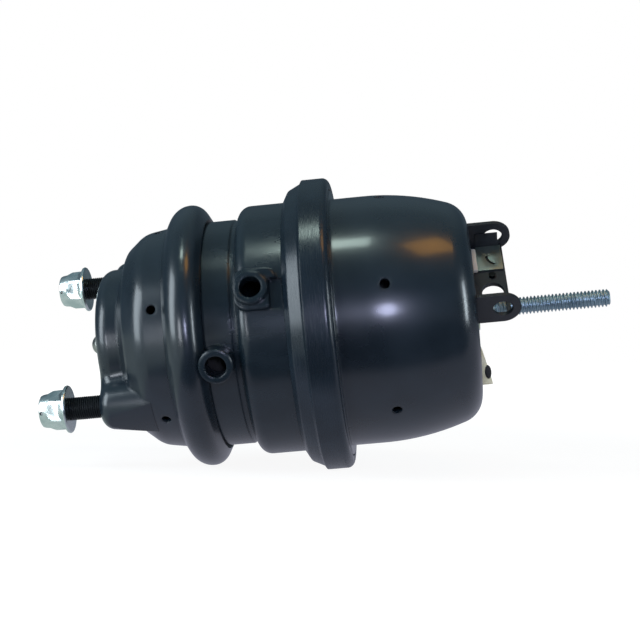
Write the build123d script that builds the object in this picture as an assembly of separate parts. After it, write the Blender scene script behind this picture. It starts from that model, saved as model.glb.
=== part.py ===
from build123d import *

import math
import os

# Combined service and spring brake chamber for an air-braked axle, in millimetres.
# The chamber axis is X. X = 0 is the seat that bolts to the brake, and +X runs towards the
# spring end. The two mounting studs lie on a line that falls 45 degrees towards -Y.
# The spring is caged: the release bolt holds the piston back and the push rod is fully in.

os.makedirs("parts", exist_ok=True)

# ---------------------------------------------------------------- clearances

SLIDE_GAP = 0.05        # radial, a moving shaft in its guide
SEAT_GAP = 0.05         # between the faces of clamped pieces
SOFT_GAP = 0.3          # between rubber or a spring and what it lies against

# ---------------------------------------------------------------- mounting studs and nuts

STUD_CIRCLE = 120.65
STUD_ANGLE = 45.0
STUD_R = 8.0
STUD_ROOT_R = 7.35      # where the nut's thread engages
STUD_NECK_R = 8.4       # pressed through the sheet
STUD_HEAD_R = 10.2
STUD_HEAD_T = 5.0
STUD_CHAMFER = 1.0
STUD_LENGTH = 43.2      # from the seat to the stud's end
STUD_SHOWN = 21.0       # past the nut's flange
NUT_OUT = STUD_LENGTH - STUD_SHOWN
NUT_FLATS = 24.0
NUT_HEX_LENGTH = 14.0
NUT_FLANGE_R = 16.7
NUT_FLANGE_T = 1.6
NUT_CONE_T = 3.2
NUT_COLLAR_R = 11.4
NUT_COLLAR_LENGTH = 4.8
NYLON_R = 9.4
NYLON_T = 3.4

# ---------------------------------------------------------------- service housing

SERVICE_SHEET = 3.2
DRUM_R = 52.8
DRUM_LENGTH = 17.4
DRUM_EDGE_R = 9.5
DRUM_INNER_EDGE_R = 3.0
KNEE_ROOT = 2.0         # of the knee's line inside the drum's wall
KNEE_LENGTH = 6.0
KNEE_RISE = 13.2
KNEE_R = 10.0
DOME_LENGTH = 12.0
DOME_R = 18.0
SHOULDER_RISE = 3.4     # from the dome's end to the lip
SHOULDER_LENGTH = 20.8
SHOULDER_DROP = 0.9     # below the flange case's service end
LOBE_R = 15.6           # round each stud, at the seat
LOBE_DRAFT = 8.0        # degrees; the lobes widen towards the dome
LOBE_BLEND_R = 9.0
LOBE_LENGTH = 38.0      # back to inside the dome
LOBE_PROUD = 0.675      # of the flat that trims the lobes, outside their round
FRONT_HOLE_R = 20.0
LIP_HEIGHT = 4.7        # of the two clamped lips, above the flange case's service end
LIP_BEND_R = 2.5
LIP_SLOPE = 29.0        # degrees, of the clamped lips from the radial plane
VENT_COUNT = 6
VENT_FIRST_ANGLE = 15.0
SERVICE_VENT_R = 3.25
SERVICE_VENT_BACK = 9.9  # from the lip

# ---------------------------------------------------------------- service clamp ring

RING_SHEET = 2.8
RING_HEIGHT = 13.2      # of the crown, above the flange case's service end
RING_LEFT_R = 14.0
RING_RIGHT_R = 10.0
RING_EDGE_GAP = 0.8

# ---------------------------------------------------------------- flange case

LIP_PACK = 12.1         # from the housing's lip to the case's lip, with the bead between
CASE_LIP_T = 8.4
CASE_LIP_FLARE = 3.0    # relief at the mouth, for the diaphragm's bend
CASE_SERVICE_R = 80.3
CASE_STEP = 8.6         # up to the spring end's radius
CASE_WALL = 4.0
SERVICE_CUP_LENGTH = 22.7  # from the lip's back to the groove
GROOVE_WIDTH = 4.1
GROOVE_DEPTH = 1.0
SPRING_CUP_LENGTH = 40.4  # from the groove to the flange
PARTITION_T = 8.0
PARTITION_BACK = 1.4    # of its front face, from the groove
CASE_RIM_GAP = 0.3
CASE_RIM_T = 4.8
HUB_R = 24.0
HUB_LENGTH = 13.0
HUB_EDGE_R = 1.0
CUP_CORNER_R = 6.0
RIB_COUNT = 8
RIB_T = 4.0
RIB_HEIGHT = 12.0
ROOT_OVERLAP = 1.0      # of ribs, bosses and beads in the wall that carries them
PORT_R = 7.25
PORT_BOSS_R = 11.75
PORT_CHAMFER = 0.9
SERVICE_PORT_BACK = 11.7  # from the lip's back
SERVICE_PORT_ANGLE = -13.5
SERVICE_PORT_HEIGHT = 12.1
SPRING_PORT_BACK = 16.6  # from the groove
SPRING_PORT_ANGLE = 17.5
SPRING_PORT_HEIGHT = 6.6
LAND_WIDTH = 29.0       # of the raised land round the spring port
LAND_LENGTH = 29.0
LAND_CORNER_R = 9.0
LAND_HEIGHT = 3.7
POCKET_LENGTH = 9.0     # spanner room between the spring port and the flange
POCKET_WIDTH = 21.0
POCKET_DROP = 4.0       # of its middle below the port
POCKET_DEPTH = 1.6
POCKET_EDGE_R = 1.5

# ---------------------------------------------------------------- spring clamp band

BAND_SHEET = 2.6
BAND_RISE = 23.2        # of the face, above the flange case's service end
BAND_LIP_BACK = 3.1     # of the front edge, before the flange
BAND_START_DROP = 12.9  # of the front edge, below the face
BAND_SHOULDER_DROP = 6.7
BAND_SHOULDER_LENGTH = 3.5
BAND_STEP_DROP = 2.5
BAND_STEP_LENGTH = 8.5
BAND_FACE_STEP = 1.5
BAND_FACE_LENGTH = 18.8
BAND_EDGE_R = 4.8
BAND_LIP_DROP = 8.1
BAND_SHOULDER_R = 3.4
BAND_CREASE_R = 0.6

# ---------------------------------------------------------------- spring housing

SPRING_SHEET = 3.6
BARREL_DROP = 15.5      # of the straight wall, below the band's face
BARREL_START = 22.8     # from the band to where the wall turns into the barrel curve
BARREL_CURVE_R = 178.0
END_CORNER_R = 19.0
BARREL_LENGTH = 94.3    # from the band to the end face
END_HOLE_R = 9.0
SPRING_LIP_BEND_R = 4.4
BEAD_PROUD = 0.6        # of the bead beside the band
BEAD_DROP = 8.9
BEAD_EDGE_R = 1.4
SPRING_VENT_R = 3.5
SPRING_VENT_BACK = 34.8  # from the band

# ---------------------------------------------------------------- service stroke group

ROD_R = 8.0
ROD_NOSE_OUT = 13.2     # past the seat
ROD_BOSS_R = 14.0
ROD_BOSS_LENGTH = 7.0
PUSH_PLATE_BACK = 9.0   # before the partition
PUSH_PLATE_R = 55.5
PUSH_PLATE_T = 3.0
PUSH_PLATE_RIM = 7.5
PUSH_PLATE_BEND_R = 5.0
RUBBER_T = 3.5
RUBBER_BEND = 0.5       # the inside radius of the diaphragms' tight bends
CUP_GAP = 2.3           # between the service diaphragm's cup and the case
CUP_BEND_R = 7.0
RETURN_WIRE_R = 2.2
RETURN_COIL_R = 44.0
RETURN_TURNS = 5.5
RETURN_TAPER = 10.0     # degrees
BOOT_T = 1.8
BOOT_RIM_R = 33.0
BOOT_FOLDS = 3
BOOT_DEPTH = 12.0
RETAINER_T = 2.0
RETAINER_R = 36.0

# ---------------------------------------------------------------- spring stroke group

CENTRE_ROD_R = 14.0
CENTRE_ROD_BORE_R = 10.8
FOOT_R = 19.0
FOOT_T = 3.4
FOOT_SPIGOT = 9.0
FOOT_EDGE_R = 0.8
PISTON_BACK = 78.5      # from the end face
PISTON_GAP = 9.6        # between the piston's rim and the spring diaphragm's outside
PISTON_T = 4.0
PISTON_RIM = 9.0
PISTON_COLLAR_R = 19.0
PISTON_COLLAR_LENGTH = 8.0
SPRING_SEAT_T = 1.6
POWER_WIRE_R = 6.0
POWER_COIL_INSET = 13.0  # of the coil's middle, from the piston's rim
POWER_TURNS = 4.25
SPRING_CUP_GAP = 8.4    # between the spring diaphragm's cup and the barrel's radius
SPRING_CUP_BEND_R = 6.0
BUSHING_T = 3.0
BUSHING_LENGTH = 7.0
SEAL_WIDTH = 3.4
SEAL_DEPTH = 2.6
SEAL_INSET = 1.6        # from the partition's face
SEAL_SPACE = 1.2
CLIP_RING_T = 1.6
CLIP_RING_DEPTH = 2.0
CLIP_RING_GAP = 8.0

# ---------------------------------------------------------------- release bolt

BOLT_R = 6.25
BOLT_OUT = 95.5         # past the end face
BOLT_CHAMFER = 1.0
BOLT_HEAD_LENGTH = 18.0
BOLT_HEAD_WIDTH = 10.6
BOLT_HEAD_T = 7.4
BOLT_SLOT_GAP = 0.5
RELEASE_NUT_FLATS = 19.0
RELEASE_NUT_T = 11.0
RELEASE_WASHER_R = 14.5
RELEASE_WASHER_T = 2.8

# ---------------------------------------------------------------- bracket, clip and plug

BRACKET_SHEET = 3.0
EAR_SPACING = 72.6      # between the ears' middles
EAR_HOLE_R = 6.75
EAR_HOLE_OUT = 17.5     # from the end face
EAR_OFFSET = 36.7       # of the holes from the chamber axis
WEB_OFFSET = 27.5       # of the web's outer face from the chamber axis
WEB_OUT = 23.5          # from the end face
WINDOW_OUT = 5.5
WINDOW_WIDTH = 15.0
WINDOW_TOP = -2.6       # across the web, from its middle
WINDOW_LENGTH = 29.0
PIN_R = 2.4
PIN_HEAD_T = 1.6
PIN_OUT = 14.0
PIN_ACROSS = -4.5
CLIP_T = 1.4
CLIP_WIDTH = 25.0
CLIP_ACROSS = 22.0      # of its middle from the web's middle
CLIP_START = 4.6        # from the end face
CLIP_OUT = 22.5
CLIP_FOOT_T = 3.0
CLIP_FOOT_WIDTH = 21.0
PLUG_R = 16.0
PLUG_OFFSET = 37.6      # below the chamber axis
PLUG_TOP_T = 0.8
PLUG_FOOT_T = 8.6       # the plug stands proud at its lower side
SLOT_LENGTH = 9.0       # of the oval recess in the plug's side
SLOT_WIDTH = 3.4
SLOT_DEPTH = 3.0
SLOT_DROP = 9.0         # of its middle, below the plug's middle
SLOT_OUT = 3.4

# ---------------------------------------------------------------- worked-out values

LIP_RUN = math.tan(math.radians(LIP_SLOPE))         # along X for each unit of radius
LIP_NORMAL = 1 / math.cos(math.radians(LIP_SLOPE))  # a thickness, measured along X
DOME_START_X = DRUM_LENGTH + KNEE_LENGTH
DOME_START_R = DRUM_R + KNEE_RISE
DOME_END_X = DOME_START_X + DOME_LENGTH
LIP_X = DOME_END_X + SHOULDER_LENGTH
SHOULDER_R = CASE_SERVICE_R - SHOULDER_DROP
DOME_END_R = SHOULDER_R - SHOULDER_RISE
LIP_R = CASE_SERVICE_R + LIP_HEIGHT
LIP_END_X = LIP_X + (LIP_R - SHOULDER_R) * LIP_RUN
RING_R = CASE_SERVICE_R + RING_HEIGHT
CASE_LIP_X = LIP_X + LIP_PACK
CASE_LIP_BACK_X = CASE_LIP_X + CASE_LIP_T
GROOVE_X = CASE_LIP_BACK_X + SERVICE_CUP_LENGTH
PARTITION_X = GROOVE_X - PARTITION_BACK
CASE_SPRING_R = CASE_SERVICE_R + CASE_STEP
CASE_SERVICE_BORE_R = CASE_SERVICE_R - CASE_WALL
CASE_SPRING_BORE_R = CASE_SPRING_R - CASE_WALL
CASE_SPRING_X = PARTITION_X + PARTITION_T
HUB_END_X = CASE_SPRING_X + HUB_LENGTH
SERVICE_PORT_X = CASE_LIP_BACK_X + SERVICE_PORT_BACK
SERVICE_PORT_FACE_R = CASE_SERVICE_R + SERVICE_PORT_HEIGHT
SPRING_PORT_X = GROOVE_X + SPRING_PORT_BACK
SPRING_PORT_FACE_R = CASE_SPRING_R + SPRING_PORT_HEIGHT
BAND_R = CASE_SERVICE_R + BAND_RISE
BAND_INSIDE_R = BAND_R - BAND_SHEET
CASE_FLANGE_X = GROOVE_X + SPRING_CUP_LENGTH
BAND_SHOULDER_X = CASE_FLANGE_X - BAND_LIP_BACK + BAND_SHOULDER_LENGTH
BAND_STEP_X = BAND_SHOULDER_X + BAND_STEP_LENGTH
BAND_FACE_X = BAND_STEP_X + BAND_FACE_STEP
BAND_RIGHT_X = BAND_FACE_X + BAND_FACE_LENGTH
CASE_END_X = BAND_FACE_X + CASE_RIM_T
SPRING_LIP_X = BAND_RIGHT_X - BAND_SHEET - SEAT_GAP
SPRING_LIP_R = BAND_INSIDE_R - (BAND_EDGE_R - BAND_SHEET) - SEAT_GAP
BARREL_R = BAND_R - BARREL_DROP
BARREL_X = BAND_RIGHT_X + BARREL_START
END_X = BAND_RIGHT_X + BARREL_LENGTH
CUP_R = CASE_SERVICE_BORE_R - CUP_GAP
EAR_R = EAR_OFFSET - WEB_OFFSET + BRACKET_SHEET     # the ears' ends run into the web's inner face
PUSH_PLATE_X = PARTITION_X - PUSH_PLATE_BACK
PUSH_PLATE_FRONT_X = PUSH_PLATE_X - PUSH_PLATE_T
FOOT_X = PUSH_PLATE_X + RUBBER_T + 2 * SOFT_GAP
SPRING_CUP_R = BARREL_R - SPRING_CUP_GAP
PISTON_X = END_X - PISTON_BACK
PISTON_R = SPRING_CUP_R - PISTON_GAP
PISTON_BACK_X = PISTON_X + PISTON_T
POWER_COIL_R = PISTON_R - POWER_COIL_INSET


# ---------------------------------------------------------------- drawing helpers


def turned(*corners):
    """A solid turned round the chamber axis from the corners (x, radius) of its half section."""
    return revolve(make_face(Polyline(*corners, close=True)), axis=Axis.X).solid()


def turned_round(*corners):
    """The same from corners (x, radius, fillet)."""
    points = [(x, radius) for x, radius, _ in corners]
    fillets = [blend for _, _, blend in corners]
    face = make_face(FilletPolyline(*points, radius=fillets, close=True))
    return revolve(face, axis=Axis.X).solid()


def tube(start, end, outer, inner):
    """A plain tube along the chamber axis."""
    return turned((start, inner), (end, inner), (end, outer), (start, outer))


def disc(start, end, radius):
    """A plain cylinder along the chamber axis."""
    return turned((start, 0), (end, 0), (end, radius), (start, radius))


def pressed(path, thickness):
    """A turned sheet: the half section's outer line, thickened towards the inside."""
    face = make_face(offset(path, amount=thickness, side=Side.RIGHT))
    return revolve(face, axis=Axis.X).solid()


def at_angle(x, radius, angle):
    """A point off the axis; the angle is measured up from -Y."""
    turn = math.radians(angle)
    return Vector(x, -radius * math.cos(turn), radius * math.sin(turn))


def radial_plane(x, radius, angle):
    """A plane that faces outwards there, with its own X along the chamber."""
    outwards = at_angle(0, 1, angle)
    return Plane(origin=at_angle(x, radius, angle), x_dir=(1, 0, 0), z_dir=outwards)


def facing_x(x, y=0.0, z=0.0):
    """A plane that faces +X, with its own X along Y and its own Y along Z."""
    return Plane(origin=(x, y, z), x_dir=(0, 1, 0), z_dir=(1, 0, 0))


def on_bracket(across, out, offset_from_axis):
    """A point of the bracket: along the stud line, out from the end face, off the axis."""
    turn = math.radians(STUD_ANGLE)
    along = Vector(0, -math.cos(turn), -math.sin(turn))
    away = Vector(0, -math.sin(turn), math.cos(turn))
    return Vector(END_X + out, 0, 0) + along * across + away * offset_from_axis


def bracket_plane(across, out, offset_from_axis, normal):
    """A plane of the bracket, with its own X along the chamber: normal is across or away."""
    turn = math.radians(STUD_ANGLE)
    normals = {
        "across": Vector(0, -math.cos(turn), -math.sin(turn)),
        "away": Vector(0, -math.sin(turn), math.cos(turn)),
    }
    origin = on_bracket(across, out, offset_from_axis)
    return Plane(origin=origin, x_dir=(1, 0, 0), z_dir=normals[normal])


def at_studs(piece):
    """A copy of a piece, drawn on the chamber axis, at each stud."""
    angles = (-STUD_ANGLE, 180.0 - STUD_ANGLE)
    places = [at_angle(0, STUD_CIRCLE / 2, angle) for angle in angles]
    return [Pos(place) * piece for place in places]


def vented(body, x, radius, hole_r):
    """The body with a ring of round holes through its wall."""
    for index in range(VENT_COUNT):
        plane = radial_plane(x, radius, VENT_FIRST_ANGLE + index * 360.0 / VENT_COUNT)
        body -= extrude(plane * Circle(hole_r), amount=hole_r * 2, both=True)
    return body


def coil(start, end, coil_r, wire_r, turns, taper=0.0):
    """A wire wound round the chamber axis, between two X values."""
    height = end - start - 2 * wire_r
    path = Helix(
        pitch=height / turns,
        height=height,
        radius=coil_r,
        center=(start + wire_r, 0, 0),
        direction=(1, 0, 0),
        cone_angle=-taper,
    )
    section = Plane(origin=path @ 0, z_dir=path % 0) * Circle(wire_r)
    return sweep(section, path=path, is_frenet=True).solid()


# ---------------------------------------------------------------- service end


def lobed_outline(x, drum_r, lobe_r, blend_r):
    """The drum's outline with a lobe round each stud."""
    outline = facing_x(x) * Circle(drum_r)
    for lobe in at_studs(facing_x(x) * Circle(lobe_r)):
        outline += lobe
    return fillet(outline.vertices(), blend_r)


def lobed_drum(inset, edge_r):
    """A drum whose stud lobes widen towards the dome, with a rounded front edge."""
    end = inset + LOBE_LENGTH
    spread = LOBE_LENGTH * math.tan(math.radians(LOBE_DRAFT))
    drum_r, lobe_r, blend_r = DRUM_R - inset, LOBE_R - inset, LOBE_BLEND_R + inset
    drum = loft(
        [
            lobed_outline(inset, drum_r, lobe_r, blend_r),
            lobed_outline(end, drum_r, lobe_r + spread, blend_r),
        ],
        ruled=True,
    )
    front = drum.faces().sort_by(Axis.X)[0]
    drum = fillet(front.outer_wire().edges(), edge_r)
    return drum & disc(inset, end, STUD_CIRCLE / 2 + LOBE_R + LOBE_PROUD - inset)


def service_housing():
    """Pressed cup with two stud lobes, a domed shoulder and a clamped lip."""
    knee_start = (DRUM_LENGTH - KNEE_ROOT, DRUM_R - KNEE_ROOT * KNEE_RISE / KNEE_LENGTH)
    path = FilletPolyline(
        knee_start,
        (DOME_START_X, DOME_START_R),
        (DOME_END_X, DOME_END_R),
        (LIP_X, SHOULDER_R),
        (LIP_END_X, LIP_R),
        radius=[KNEE_R, DOME_R, LIP_BEND_R],
    )
    walls = pressed(path, SERVICE_SHEET)
    closing = Polyline(
        (LIP_END_X, LIP_R), (LIP_END_X, 0), (knee_start[0], 0), knee_start
    )
    hollow = revolve(make_face(path + closing), axis=Axis.X).solid() - walls
    body = walls + lobed_drum(0.0, DRUM_EDGE_R) - hollow
    body -= lobed_drum(SERVICE_SHEET, DRUM_INNER_EDGE_R)
    body -= disc(-SERVICE_SHEET, 2 * SERVICE_SHEET, FRONT_HOLE_R)
    for hole in at_studs(disc(0, SERVICE_SHEET, STUD_NECK_R + SEAT_GAP)):
        body -= hole
    return vented(body, LIP_X - SERVICE_VENT_BACK, SHOULDER_R, SERVICE_VENT_R)


def mounting_studs():
    """Studs pressed in from inside: round head, neck in the sheet, thread outside."""
    head_x = SERVICE_SHEET + SEAT_GAP
    stud = turned(
        (-STUD_LENGTH, 0),
        (-STUD_LENGTH, STUD_ROOT_R - STUD_CHAMFER),
        (-STUD_LENGTH + STUD_CHAMFER, STUD_ROOT_R),
        (-NUT_OUT, STUD_ROOT_R),
        (-NUT_OUT, STUD_R),
        (0, STUD_R),
        (0, STUD_NECK_R),
        (head_x, STUD_NECK_R),
        (head_x, STUD_HEAD_R),
        (head_x + STUD_HEAD_T, STUD_HEAD_R),
        (head_x + STUD_HEAD_T, 0),
    )
    return at_studs(stud)


def nut_collar_x():
    """Where the lock nut's hexagon ends and its collar begins."""
    return -NUT_OUT - NUT_FLANGE_T - NUT_HEX_LENGTH


def stud_nuts():
    """Flanged lock nuts: flange towards the seat, collar for the nylon ring outside."""
    face_x = -NUT_OUT - SEAT_GAP
    collar_x = nut_collar_x()
    end_x = collar_x - NUT_COLLAR_LENGTH
    corner_r = NUT_FLATS / math.sqrt(3)
    hexagon = extrude(facing_x(collar_x) * RegularPolygon(corner_r, 6), amount=face_x - collar_x)
    crown = turned(
        (collar_x, 0),
        (collar_x, NUT_FLATS / 2),
        (collar_x + (corner_r - NUT_FLATS / 2), corner_r),
        (face_x, corner_r),
        (face_x, 0),
    )
    cone_x = face_x - NUT_FLANGE_T
    flange = turned(
        (face_x, 0),
        (face_x, NUT_FLANGE_R),
        (cone_x, NUT_FLANGE_R),
        (cone_x - NUT_CONE_T, NUT_FLATS / 2),
        (cone_x - NUT_CONE_T, 0),
    )
    collar = turned_round(
        (collar_x + STUD_CHAMFER, STUD_ROOT_R, 0),
        (collar_x + STUD_CHAMFER, NUT_COLLAR_R, 0),
        (end_x, NUT_COLLAR_R, NUT_COLLAR_LENGTH / 2),
        (end_x, STUD_ROOT_R, 0),
    )
    bore = disc(end_x, face_x, STUD_ROOT_R + SLIDE_GAP)
    seat = disc(collar_x - NYLON_T, collar_x, NYLON_R)
    return at_studs((hexagon & crown) + flange + collar - bore - seat)


def nut_inserts():
    """Nylon locking rings in the nuts' collars."""
    collar_x = nut_collar_x()
    ring = tube(
        collar_x - NYLON_T + SEAT_GAP,
        collar_x - SEAT_GAP,
        NYLON_R - SEAT_GAP,
        STUD_ROOT_R + SLIDE_GAP,
    )
    return at_studs(ring)


def front_boot():
    """Folded rubber boot that seals the push rod to the front wall."""
    rim_x = SERVICE_SHEET + SEAT_GAP
    step = (FRONT_HOLE_R - ROD_R - BOOT_T) / (2 * BOOT_FOLDS + 1)
    points = [(rim_x + BOOT_T, BOOT_RIM_R), (rim_x + BOOT_T, FRONT_HOLE_R)]
    for fold in range(2 * BOOT_FOLDS):
        depth = BOOT_DEPTH if fold % 2 == 0 else BOOT_T
        points.append((rim_x + BOOT_T + depth, FRONT_HOLE_R - (fold + 1) * step))
    points.append((rim_x + BOOT_T + BOOT_DEPTH / 2, ROD_R + SLIDE_GAP))
    rod_room = disc(0, rim_x + 2 * BOOT_DEPTH, ROD_R + SLIDE_GAP)
    return pressed(Polyline(*points), BOOT_T) - rod_room


def boot_retainer():
    """Steel ring that holds the boot's rim against the front wall."""
    start = SERVICE_SHEET + 2 * SEAT_GAP + BOOT_T
    return tube(start, start + RETAINER_T, RETAINER_R, FRONT_HOLE_R + BOOT_T)


def push_rod():
    """Rod with a hemispherical nose and a welded boss that carries the push plate."""
    section = make_face(
        Polyline(
            (-ROD_NOSE_OUT, 0),
            (PUSH_PLATE_FRONT_X, 0),
            (PUSH_PLATE_FRONT_X, ROD_BOSS_R),
            (PUSH_PLATE_FRONT_X - ROD_BOSS_LENGTH / 2, ROD_BOSS_R),
            (PUSH_PLATE_FRONT_X - ROD_BOSS_LENGTH, ROD_R),
            (ROD_R - ROD_NOSE_OUT, ROD_R),
        )
        + CenterArc((ROD_R - ROD_NOSE_OUT, 0), ROD_R, 90, 90)
    )
    return revolve(section, axis=Axis.X).solid()


def push_plate():
    """Dished steel plate that the diaphragm pushes on."""
    path = FilletPolyline(
        (PUSH_PLATE_X - PUSH_PLATE_RIM, PUSH_PLATE_R),
        (PUSH_PLATE_X, PUSH_PLATE_R),
        (PUSH_PLATE_X, SEAT_GAP),
        radius=PUSH_PLATE_BEND_R,
    )
    rim = pressed(path, PUSH_PLATE_T)
    return rim + disc(PUSH_PLATE_FRONT_X, PUSH_PLATE_X, ROD_BOSS_R)


def service_return_spring():
    """Conical spring between the front wall and the push plate."""
    return coil(
        SERVICE_SHEET + SOFT_GAP,
        PUSH_PLATE_FRONT_X - SOFT_GAP,
        RETURN_COIL_R,
        RETURN_WIRE_R,
        RETURN_TURNS,
        RETURN_TAPER,
    )


def service_diaphragm():
    """Rubber cup with a wedge-shaped bead between the two service lips."""
    back_x = PUSH_PLATE_X + SOFT_GAP + RUBBER_T
    bead_x = CASE_LIP_X - SEAT_GAP
    path = FilletPolyline(
        (bead_x, SHOULDER_R),
        (bead_x, CUP_R),
        (back_x, CUP_R),
        (back_x, SEAT_GAP),
        radius=[RUBBER_T + RUBBER_BEND, CUP_BEND_R],
    )
    front_x = LIP_X + SERVICE_SHEET * LIP_NORMAL + SEAT_GAP * LIP_NORMAL
    bead = turned(
        (front_x, SHOULDER_R),
        (bead_x, SHOULDER_R),
        (bead_x, LIP_R - RUBBER_T / 2),
        (front_x + (LIP_R - RUBBER_T / 2 - SHOULDER_R) * LIP_RUN, LIP_R - RUBBER_T / 2),
    )
    return pressed(path, RUBBER_T) + bead + disc(back_x - RUBBER_T, back_x, ROD_BOSS_R)


def service_clamp_ring():
    """Crimped ring with a round crown over the service lips."""
    return pressed(ring_path(), RING_SHEET)


def ring_path():
    """Outer half section of the service clamp ring."""
    reach = (RING_SHEET + SEAT_GAP) * LIP_NORMAL
    left_x = LIP_X - reach
    right_x = CASE_LIP_BACK_X + (LIP_R - CASE_SERVICE_R) * LIP_RUN + reach
    left_r = SHOULDER_R + RING_SHEET / 2 + RING_EDGE_GAP
    right_r = CASE_SERVICE_R + RING_SHEET / 2 + RING_EDGE_GAP
    return FilletPolyline(
        (left_x + (left_r - SHOULDER_R) * LIP_RUN, left_r),
        (left_x + (RING_R - SHOULDER_R) * LIP_RUN, RING_R),
        (right_x - (RING_R - CASE_SERVICE_R) * LIP_RUN, RING_R),
        (right_x - (right_r - CASE_SERVICE_R) * LIP_RUN, right_r),
        radius=[RING_LEFT_R, RING_RIGHT_R],
    )


# ---------------------------------------------------------------- flange case


def port_boss(x, angle, face_r, root_r):
    """A round spigot that stands out of the case to a flat face."""
    plane = radial_plane(x, root_r, angle)
    spigot = extrude(plane * Circle(PORT_BOSS_R), amount=face_r - root_r)
    rims = spigot.edges().filter_by(GeomType.CIRCLE)
    return chamfer(rims.sort_by_distance(at_angle(x, face_r, angle))[0], PORT_CHAMFER)


def port_hole(x, angle, face_r, bore_r):
    """The tapped hole through a port's boss, down into the chamber."""
    plane = radial_plane(x, bore_r - CASE_WALL, angle)
    return extrude(plane * Circle(PORT_R), amount=face_r - bore_r + 2 * CASE_WALL)


def flange_case():
    """Cast middle body: service cup, partition with a hub, spring cup and two ports."""
    lip_back_x = CASE_LIP_BACK_X + (LIP_R - CASE_SERVICE_R) * LIP_RUN
    groove_r = CASE_SERVICE_R - GROOVE_DEPTH
    groove_end = GROOVE_X + GROOVE_WIDTH
    rim_x = BAND_FACE_X + BAND_SHEET
    rim_r = BAND_INSIDE_R - SEAT_GAP
    shoulder_r = BAND_INSIDE_R - BAND_SHOULDER_DROP
    step_r = BAND_INSIDE_R - BAND_STEP_DROP
    body = turned_round(
        (CASE_LIP_X, 0, 0),
        (CASE_LIP_X, LIP_R, 0.6),
        (CASE_LIP_BACK_X, LIP_R, 0.6),
        (lip_back_x, CASE_SERVICE_R, 0),
        (GROOVE_X, CASE_SERVICE_R, 0.5),
        (GROOVE_X + GROOVE_DEPTH, groove_r, 0.4),
        (groove_end, groove_r, 0.4),
        (groove_end + GROOVE_DEPTH, CASE_SPRING_R, CASE_STEP),
        (CASE_FLANGE_X, CASE_SPRING_R, 0),
        (CASE_FLANGE_X + BAND_SHEET, shoulder_r - CASE_RIM_GAP, 1.0),
        (BAND_FACE_X, step_r - 2 * CASE_RIM_GAP, 0.5),
        (rim_x, rim_r, 0.4),
        (CASE_END_X, rim_r, 0.4),
        (CASE_END_X, 0, 0),
    )
    body -= turned_round(
        (CASE_LIP_X, 0, 0),
        (PARTITION_X, 0, 0),
        (PARTITION_X, CASE_SERVICE_BORE_R, CUP_CORNER_R),
        (CASE_LIP_X + CASE_LIP_FLARE, CASE_SERVICE_BORE_R, 1.0),
        (CASE_LIP_X, CASE_SERVICE_BORE_R + CASE_LIP_FLARE, 0),
    )
    body -= turned_round(
        (CASE_SPRING_X, HUB_R, CUP_CORNER_R / 2),
        (HUB_END_X, HUB_R, HUB_EDGE_R),
        (HUB_END_X, 0, 0),
        (CASE_END_X, 0, 0),
        (CASE_END_X, CASE_SPRING_BORE_R, 0),
        (CASE_SPRING_X, CASE_SPRING_BORE_R, CUP_CORNER_R),
    )
    rib = extrude(
        Plane.XY * Pos(CASE_SPRING_X, 0) * Polygon(
            (-ROOT_OVERLAP, HUB_R - ROOT_OVERLAP),
            (RIB_HEIGHT, HUB_R - ROOT_OVERLAP),
            (-ROOT_OVERLAP, CASE_SPRING_BORE_R - RIB_T),
            align=None,
        ),
        amount=RIB_T / 2,
        both=True,
    )
    for index in range(RIB_COUNT):
        body += Rot(index * 360.0 / RIB_COUNT, 0, 0) * rib
    service_root_r = CASE_SERVICE_BORE_R + ROOT_OVERLAP
    service_boss = port_boss(
        SERVICE_PORT_X, SERVICE_PORT_ANGLE, SERVICE_PORT_FACE_R, service_root_r
    )
    ring_room = make_face(ring_path() + ring_closing())
    service_boss -= revolve(ring_room, axis=Axis.X).solid()
    body += service_boss + port_land()
    body -= port_pocket()
    body += port_boss(
        SPRING_PORT_X,
        SPRING_PORT_ANGLE,
        SPRING_PORT_FACE_R,
        CASE_SPRING_BORE_R + ROOT_OVERLAP,
    )
    body -= port_hole(
        SERVICE_PORT_X, SERVICE_PORT_ANGLE, SERVICE_PORT_FACE_R, CASE_SERVICE_BORE_R
    )
    body -= port_hole(SPRING_PORT_X, SPRING_PORT_ANGLE, SPRING_PORT_FACE_R, CASE_SPRING_BORE_R)
    return body - hub_bore()


def port_land():
    """Flat raised land under the spring port's boss, reaching back to the flange."""
    root_r = CASE_SPRING_BORE_R + ROOT_OVERLAP
    plane = radial_plane(SPRING_PORT_X, root_r, SPRING_PORT_ANGLE)
    height = CASE_SPRING_R + LAND_HEIGHT - root_r
    middle = Pos(LAND_LENGTH / 2 - PORT_BOSS_R, 0)
    land = extrude(
        plane * middle * RectangleRounded(LAND_LENGTH, LAND_WIDTH, LAND_CORNER_R), amount=height
    )
    top = land.faces().sort_by_distance(
        at_angle(SPRING_PORT_X, root_r + 2 * height, SPRING_PORT_ANGLE)
    )[0]
    return fillet(top.edges(), POCKET_EDGE_R)


def port_pocket():
    """Spanner room between the spring port's boss and the flange."""
    plane = radial_plane(SPRING_PORT_X, CASE_SPRING_R - POCKET_DEPTH, SPRING_PORT_ANGLE)
    place = Pos(PORT_BOSS_R + POCKET_LENGTH / 2, -POCKET_DROP)
    return extrude(
        plane * place * RectangleRounded(POCKET_LENGTH, POCKET_WIDTH, POCKET_EDGE_R),
        amount=BAND_START_DROP,
    )


def ring_closing():
    """Closes the clamp ring's outer line into a face down to the axis."""
    line = ring_path()
    start, end = line @ 0, line @ 1
    return Polyline((end.X, end.Y), (end.X, 0), (start.X, 0), (start.X, start.Y))


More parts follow.
